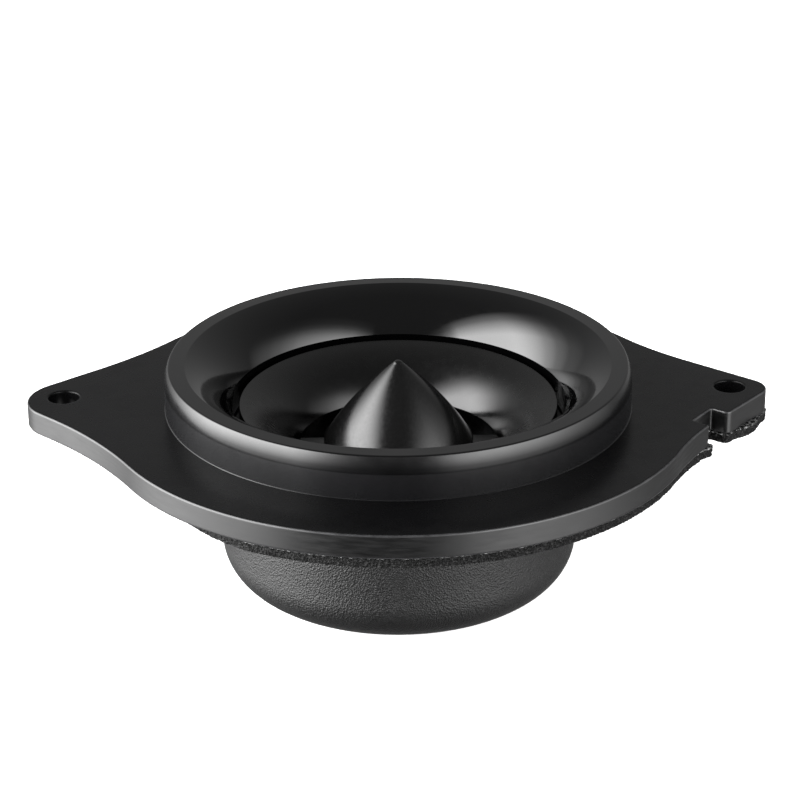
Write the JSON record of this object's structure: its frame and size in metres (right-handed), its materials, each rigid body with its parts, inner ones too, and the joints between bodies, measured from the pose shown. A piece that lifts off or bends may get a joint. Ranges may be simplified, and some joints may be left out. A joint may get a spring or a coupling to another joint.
{
  "type": "car tweeter",
  "caption": "Bullet tweeter with a gloss horn ring and a pointed phase plug, on a flat two-eared adapter plate with a foam gasket, for a dash opening.",
  "frame": {"origin": "on the tweeter's axis, in the plane of the foam gasket's underside, where the part meets the dash", "axes": "+Z out of the dash along the horn's axis, +X along the line of the two ear holes towards the notched ear, +Y towards the terminals"},
  "size_m": [0.12, 0.0948, 0.0373],
  "materials": {
    "plate": "satin black sheet plastic with crisp sawn edges",
    "foam": "black cellular foam with a cut edge",
    "ring": "gloss black",
    "bowl": "satin black",
    "rubber": "matt black",
    "bullet": "fine satin black paint",
    "zinc_screw": "zinc plated",
    "moulding": "moulded black plastic",
    "film": "black treated cloth",
    "dome": "drawn metal foil",
    "former": "amber film",
    "copper": "lacquered copper wire",
    "brass": "bright brass",
    "felt": "grey felt",
    "steel": "turned and zinc plated steel",
    "magnet": "nickel plated magnet",
    "can": "black plastic with a fine leather grain",
    "black_screw": "black oxide",
    "tinned": "tin plated brass",
    "capacitor": "blue shrink sleeve",
    "red_wire": "red insulation",
    "black_wire": "black insulation"
  },
  "bodies": {
    "root": {"mounting_plate": "plate", "foam_gasket": "foam", "horn_ring": "ring", "horn_bowl": "bowl", "bowl_gasket": "rubber", "bullet_plug": "bullet", "plug_spider": "bowl", "plug_screw": "zinc_screw", "diaphragm_carrier": "moulding", "surround": "film", "coil_leads": "copper", "solder_tabs": "brass", "damping_pad": "felt", "motor_bracket": "moulding", "pot_yoke": "steel", "magnet": "magnet", "pole_plate": "steel", "motor_screws": "zinc_screw", "rear_can": "can", "can_screws": "black_screw", "terminal_board": "moulding", "board_screws": "zinc_screw", "positive_terminal": "brass", "negative_terminal": "tinned", "capacitor": "capacitor", "positive_wire": "red_wire", "negative_wire": "black_wire", "jumper_wire": "red_wire"},
    "diaphragm": {"diaphragm_dome": "dome", "voice_coil_former": "former", "voice_coil": "copper"}
  },
  "joints": [
    {"name": "diaphragm_stroke", "type": "slide", "parent": "root", "child": "diaphragm", "axis": [0, 0, 1], "range_m": [-0.0003, 0.0003], "stiffness_N_per_m": 200, "deforming": ["surround", "coil_leads"]}
  ]
}
